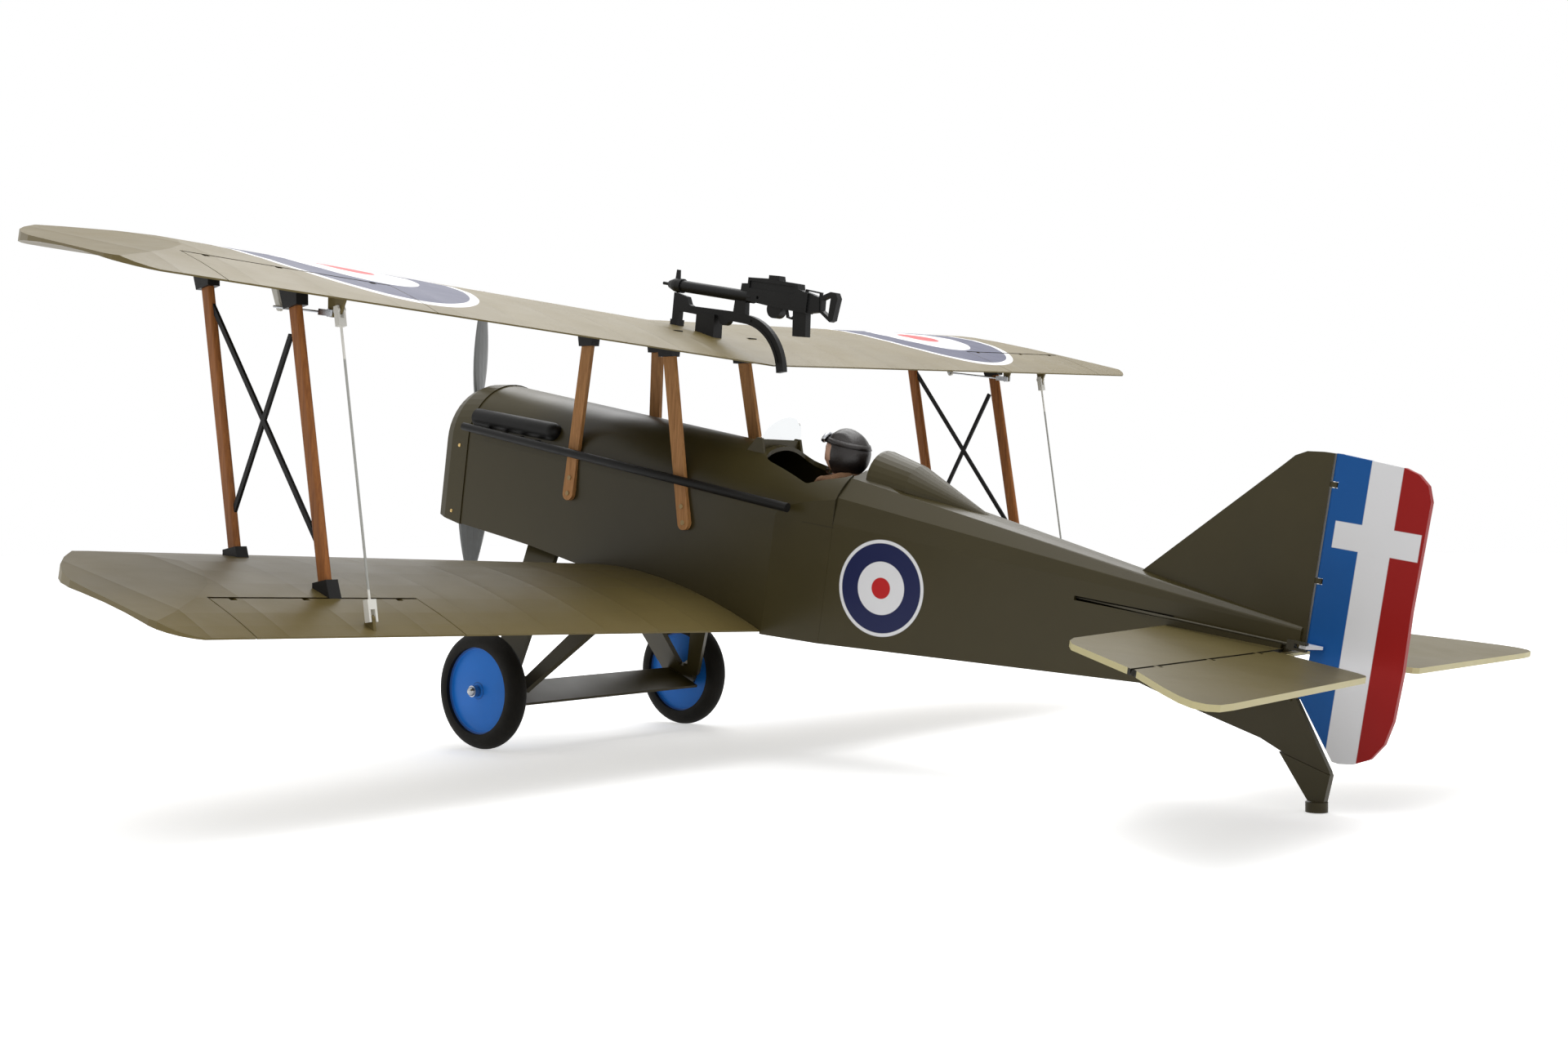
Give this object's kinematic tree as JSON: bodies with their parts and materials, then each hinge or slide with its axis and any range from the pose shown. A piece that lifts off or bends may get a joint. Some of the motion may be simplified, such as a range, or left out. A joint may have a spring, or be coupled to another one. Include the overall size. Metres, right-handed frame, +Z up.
{
  "type": "rc biplane",
  "caption": "Radio-controlled scale biplane, olive and khaki, with staggered wings, disc wheels, working ailerons, elevator, rudder and propeller.",
  "frame": {"origin": "on the ground plane under the middle of the model's bounding box", "axes": "+X to the nose, +Y to the port wing tip, +Z up, standing on wheels and tail skid"},
  "size_m": [0.6987, 0.874, 0.3043],
  "materials": {
    "olive_film": "glossy film",
    "olive_covering": "satin film over ribs",
    "rudder_paint": "satin",
    "black_plastic": "satin",
    "plywood": "bare",
    "stained_wood": "stained",
    "motor_metal": "machined",
    "battery_wrap": "shrink wrap",
    "servo_plastic": "moulded",
    "steel_wire": "bright",
    "white_nylon": "moulded",
    "windscreen": "clear sheet",
    "pilot_figure": "painted",
    "propeller_grey": "moulded",
    "tyre": "matt",
    "blue_disc": "painted"
  },
  "bodies": {
    "airframe": {"fuselage_shell": "olive_film", "nose_cowl": "olive_film", "radiator_grille": "black_plastic", "battery_hatch": "olive_film", "firewall": "plywood", "motor_stator": "motor_metal", "battery": "battery_wrap", "receiver": "servo_plastic", "speed_controller": "black_plastic", "servos": "servo_plastic", "upper_wing": "olive_covering", "lower_wing": "olive_covering", "cabane_struts_front": "plywood", "cabane_struts_rear": "plywood", "strut_port_front": "stained_wood", "strut_port_rear": "stained_wood", "strut_starboard_front": "stained_wood", "strut_starboard_rear": "stained_wood", "cross_brace_port": "black_plastic", "cross_brace_starboard": "black_plastic", "strut_fittings": "black_plastic", "undercarriage_port": "olive_film", "undercarriage_starboard": "olive_film", "axle_fairing": "olive_film", "axle": "steel_wire", "tail_fin": "olive_film", "tailplane": "olive_covering", "tail_skid": "steel_wire", "headrest": "olive_film", "cockpit_coaming": "black_plastic", "windscreen": "windscreen", "pilot": "pilot_figure", "gun_rail": "black_plastic", "machine_gun": "black_plastic", "exhaust_port": "black_plastic", "exhaust_starboard": "black_plastic", "hinge_pins": "steel_wire"},
    "propeller": {"propeller": "propeller_grey", "prop_nut": "motor_metal", "motor_bell": "motor_metal"},
    "wheel_port": {"tyre_port": "tyre", "wheel_disc_port": "blue_disc"},
    "wheel_starboard": {"tyre_starboard": "tyre", "wheel_disc_starboard": "blue_disc"},
    "aileron_upper_port": {"aileron_upper_port": "olive_covering"},
    "aileron_upper_starboard": {"aileron_upper_starboard": "olive_covering"},
    "aileron_lower_port": {"aileron_lower_port": "olive_covering"},
    "aileron_lower_starboard": {"aileron_lower_starboard": "olive_covering"},
    "link_port": {"aileron_link_port": "white_nylon"},
    "link_starboard": {"aileron_link_starboard": "white_nylon"},
    "servo_arm_port": {"servo_arm_port": "white_nylon"},
    "servo_arm_starboard": {"servo_arm_starboard": "white_nylon"},
    "pushrod_port": {"aileron_pushrod_port": "steel_wire"},
    "pushrod_starboard": {"aileron_pushrod_starboard": "steel_wire"},
    "elevator": {"elevator": "olive_covering"},
    "rudder": {"rudder": "rudder_paint"},
    "elevator_arm": {"elevator_servo_arm": "white_nylon"},
    "elevator_rod": {"elevator_pushrod": "steel_wire"},
    "rudder_arm": {"rudder_servo_arm": "white_nylon"},
    "rudder_rod": {"rudder_pushrod": "steel_wire"}
  },
  "joints": [
    {"name": "propeller_spin", "type": "hinge", "parent": "airframe", "child": "propeller", "pos_m": [0.33197, 0, 0.20122], "axis": [0.9866, 0, 0.1631], "continuous": true},
    {"name": "wheel_port_spin", "type": "hinge", "parent": "airframe", "child": "wheel_port", "pos_m": [0.22022, 0.093, 0.0372], "axis": [0, 1, 0], "continuous": true},
    {"name": "wheel_starboard_spin", "type": "hinge", "parent": "airframe", "child": "wheel_starboard", "pos_m": [0.22022, -0.093, 0.0372], "axis": [0, 1, 0], "continuous": true},
    {"name": "aileron_upper_port_hinge", "type": "hinge", "parent": "airframe", "child": "aileron_upper_port", "pos_m": [0.09471, 0.30546, 0.26455], "axis": [-0.0066, 0.9992, 0.0401], "range_deg": [-20, 20]},
    {"name": "aileron_lower_port_hinge", "type": "hinge", "parent": "airframe", "child": "aileron_lower_port", "pos_m": [0.07477, 0.30546, 0.10314], "axis": [-0.0066, 0.9992, 0.0401], "range_deg": [-20, 20]},
    {"name": "link_port_pivot", "type": "hinge", "parent": "aileron_upper_port", "child": "link_port", "pos_m": [0.06563, 0.31797, 0.24728], "axis": [-0.0066, 0.9992, 0.0401], "range_deg": [-24, 24]},
    {"name": "servo_arm_port_turn", "type": "hinge", "parent": "airframe", "child": "servo_arm_port", "pos_m": [0.14281, 0.3055, 0.27146], "axis": [-0.0066, 0.9992, 0.0401], "range_deg": [-20, 20]},
    {"name": "pushrod_port_pivot", "type": "hinge", "parent": "servo_arm_port", "child": "pushrod_port", "pos_m": [0.13596, 0.3061, 0.25525], "axis": [-0.0066, 0.9992, 0.0401], "range_deg": [-20, 20]},
    {"name": "aileron_upper_starboard_hinge", "type": "hinge", "parent": "airframe", "child": "aileron_upper_starboard", "pos_m": [0.09471, -0.30546, 0.26455], "axis": [0.0066, 0.9992, -0.0401], "range_deg": [-20, 20]},
    {"name": "aileron_lower_starboard_hinge", "type": "hinge", "parent": "airframe", "child": "aileron_lower_starboard", "pos_m": [0.07477, -0.30546, 0.10314], "axis": [0.0066, 0.9992, -0.0401], "range_deg": [-20, 20]},
    {"name": "link_starboard_pivot", "type": "hinge", "parent": "aileron_upper_starboard", "child": "link_starboard", "pos_m": [0.06563, -0.31797, 0.24728], "axis": [0.0066, 0.9992, -0.0401], "range_deg": [-24, 24]},
    {"name": "servo_arm_starboard_turn", "type": "hinge", "parent": "airframe", "child": "servo_arm_starboard", "pos_m": [0.14281, -0.3055, 0.27146], "axis": [0.0066, 0.9992, -0.0401], "range_deg": [-20, 20]},
    {"name": "pushrod_starboard_pivot", "type": "hinge", "parent": "servo_arm_starboard", "child": "pushrod_starboard", "pos_m": [0.13596, -0.3061, 0.25525], "axis": [0.0066, 0.9992, -0.0401], "range_deg": [-20, 20]},
    {"name": "elevator_hinge", "type": "hinge", "parent": "airframe", "child": "elevator", "pos_m": [-0.27713, 0, 0.07825], "axis": [0, 1, 0], "range_deg": [-20, 20]},
    {"name": "elevator_arm_turn", "type": "hinge", "parent": "airframe", "child": "elevator_arm", "pos_m": [0.05339, 0.009, 0.13288], "axis": [0, 1, 0], "range_deg": [-20, 20]},
    {"name": "elevator_rod_pivot", "type": "hinge", "parent": "elevator", "child": "elevator_rod", "pos_m": [-0.27682, 0.009, 0.06411], "axis": [0, 1, 0], "range_deg": [-20, 20]},
    {"name": "rudder_hinge", "type": "hinge", "parent": "airframe", "child": "rudder", "pos_m": [-0.28749, 0, 0.07654], "axis": [-0.1631, 0, 0.9866], "range_deg": [-20, 20]},
    {"name": "rudder_arm_turn", "type": "hinge", "parent": "airframe", "child": "rudder_arm", "pos_m": [0.09089, 0, 0.14516], "axis": [-0.1631, 0, 0.9866], "range_deg": [-20, 20]},
    {"name": "rudder_rod_pivot", "type": "hinge", "parent": "rudder_arm", "child": "rudder_rod", "pos_m": [0.08891, 0.013, 0.14483], "axis": [-0.1631, 0, 0.9866], "range_deg": [-20, 20]}
  ],
  "couplings": [
    {"joint": "aileron_lower_port_hinge", "follows": "aileron_upper_port_hinge", "ratio": 0.8573},
    {"joint": "link_port_pivot", "follows": "aileron_upper_port_hinge", "ratio": -1.0873},
    {"joint": "servo_arm_port_turn", "follows": "aileron_upper_port_hinge", "ratio": 1},
    {"joint": "pushrod_port_pivot", "follows": "aileron_upper_port_hinge", "ratio": -1},
    {"joint": "aileron_upper_starboard_hinge", "follows": "aileron_upper_port_hinge", "ratio": -1},
    {"joint": "aileron_lower_starboard_hinge", "follows": "aileron_upper_port_hinge", "ratio": -0.8573},
    {"joint": "link_starboard_pivot", "follows": "aileron_upper_port_hinge", "ratio": 1.0873},
    {"joint": "servo_arm_starboard_turn", "follows": "aileron_upper_port_hinge", "ratio": -1},
    {"joint": "pushrod_starboard_pivot", "follows": "aileron_upper_port_hinge", "ratio": 1},
    {"joint": "elevator_arm_turn", "follows": "elevator_hinge", "ratio": 1},
    {"joint": "elevator_rod_pivot", "follows": "elevator_hinge", "ratio": -1},
    {"joint": "rudder_arm_turn", "follows": "rudder_hinge", "ratio": 1},
    {"joint": "rudder_rod_pivot", "follows": "rudder_hinge", "ratio": -1}
  ]
}
